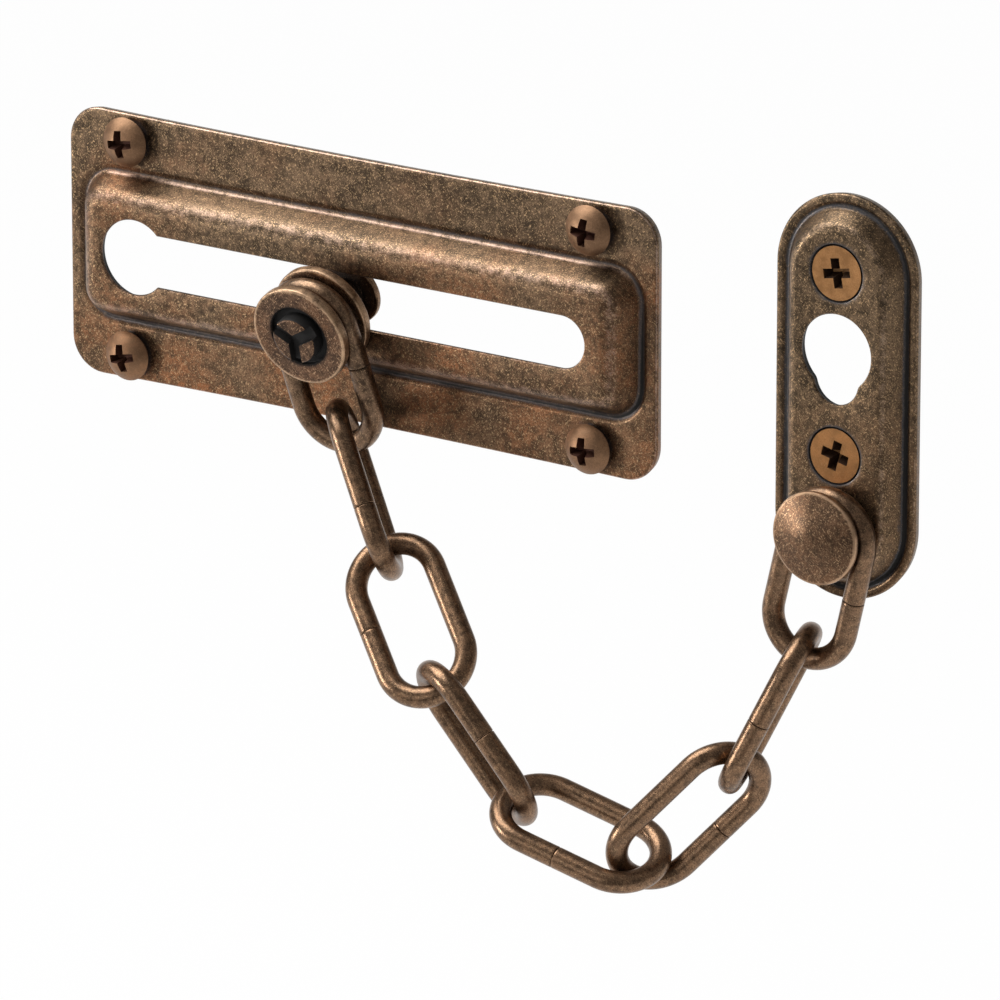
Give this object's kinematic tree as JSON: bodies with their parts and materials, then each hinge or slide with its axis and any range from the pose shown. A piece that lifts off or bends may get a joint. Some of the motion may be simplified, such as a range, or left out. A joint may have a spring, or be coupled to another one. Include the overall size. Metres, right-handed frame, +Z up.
{
  "type": "door chain",
  "caption": "Door chain with a pressed slide plate and keyhole slot, a slider, bent-wire links and a stadium-shaped anchor plate whose riveted knob holds the last link.",
  "frame": {"origin": "centre of the slide plate's back face, amid its four screws", "axes": "+Z up, +X towards the anchor plate, +Y into the door, plates face -Y"},
  "size_m": [0.1194, 0.0313, 0.0857],
  "materials": {
    "plate_bronze": "antique bronze plating, rubbed, speckled",
    "screw_bronze": "bronze plating, matt",
    "golden_bronze": "bronze plating, golden",
    "slider_bronze": "antique bronze plating",
    "wire_bronze": "antique bronze plating, smooth",
    "knob_bronze": "antique bronze plating"
  },
  "bodies": {
    "plates": {"slide_plate": "plate_bronze", "slide_plate_screws": "screw_bronze", "anchor_plate": "plate_bronze", "anchor_screws": "golden_bronze", "anchor_knob": "knob_bronze"},
    "slider": {"slider_button": "slider_bronze", "slider_spool": "slider_bronze", "slider_disc": "slider_bronze", "slider_screw": "slider_bronze"},
    "link_1": {"chain_link_1": "wire_bronze"},
    "link_2": {"chain_link_2": "wire_bronze"},
    "link_3": {"chain_link_3": "wire_bronze"},
    "link_4": {"chain_link_4": "wire_bronze"},
    "link_5": {"chain_link_5": "wire_bronze"},
    "link_6": {"chain_link_6": "wire_bronze"},
    "link_7": {"chain_link_7": "wire_bronze"},
    "link_8": {"chain_link_8": "wire_bronze"}
  },
  "joints": [
    {"name": "slider_slide", "type": "slide", "parent": "plates", "child": "slider", "axis": [1, 0, 0], "range_m": [-0.0292, 0.0322]},
    {"name": "link_1_turn", "type": "hinge", "parent": "slider", "child": "link_1", "pos_m": [-0.0012, -0.00966, -0.00208], "axis": [0, 0.9781, 0.2079], "range_deg": [-36.11, 39.79]},
    {"name": "link_2_turn", "type": "hinge", "parent": "link_1", "child": "link_2", "pos_m": [0.00016, -0.00526, -0.01439], "axis": [0, 0.9781, 0.2079], "range_deg": [-21.15, 19.21]},
    {"name": "link_3_turn", "type": "hinge", "parent": "link_2", "child": "link_3", "pos_m": [0.00964, -0.01041, -0.02941], "axis": [0, 0.9781, 0.2079], "range_deg": [-6.4, 5.83]},
    {"name": "link_4_turn", "type": "hinge", "parent": "link_3", "child": "link_4", "pos_m": [0.02224, -0.0182, -0.03999], "axis": [0, 0.9781, 0.2079], "range_deg": [-2.19, 2.38]},
    {"name": "link_5_turn", "type": "hinge", "parent": "link_4", "child": "link_5", "pos_m": [0.03088, -0.01542, -0.05233], "axis": [0, 0.9781, 0.2079], "range_deg": [-24.75, 22.47]},
    {"name": "link_6_turn", "type": "hinge", "parent": "link_5", "child": "link_6", "pos_m": [0.05013, -0.01297, -0.05916], "axis": [0, 0.9781, 0.2079], "range_deg": [-5.52, 5.03]},
    {"name": "link_7_turn", "type": "hinge", "parent": "link_6", "child": "link_7", "pos_m": [0.05932, -0.00743, -0.04782], "axis": [0, 0.9781, 0.2079], "range_deg": [-11.38, 10.35]},
    {"name": "link_8_turn", "type": "hinge", "parent": "link_7", "child": "link_8", "pos_m": [0.06519, -0.00524, -0.03104], "axis": [0, -0.0553, 0.9985], "range_deg": [-5.23, 5.74]}
  ],
  "couplings": [
    {"joint": "link_1_turn", "follows": "slider_slide", "rad_per_m": 21.406},
    {"joint": "link_2_turn", "follows": "slider_slide", "rad_per_m": -11.301},
    {"joint": "link_3_turn", "follows": "slider_slide", "rad_per_m": -3.307},
    {"joint": "link_4_turn", "follows": "slider_slide", "rad_per_m": 1.1286},
    {"joint": "link_5_turn", "follows": "slider_slide", "rad_per_m": -13.254},
    {"joint": "link_6_turn", "follows": "slider_slide", "rad_per_m": -2.83},
    {"joint": "link_7_turn", "follows": "slider_slide", "rad_per_m": -6.007},
    {"joint": "link_8_turn", "follows": "slider_slide", "rad_per_m": 2.9494}
  ]
}
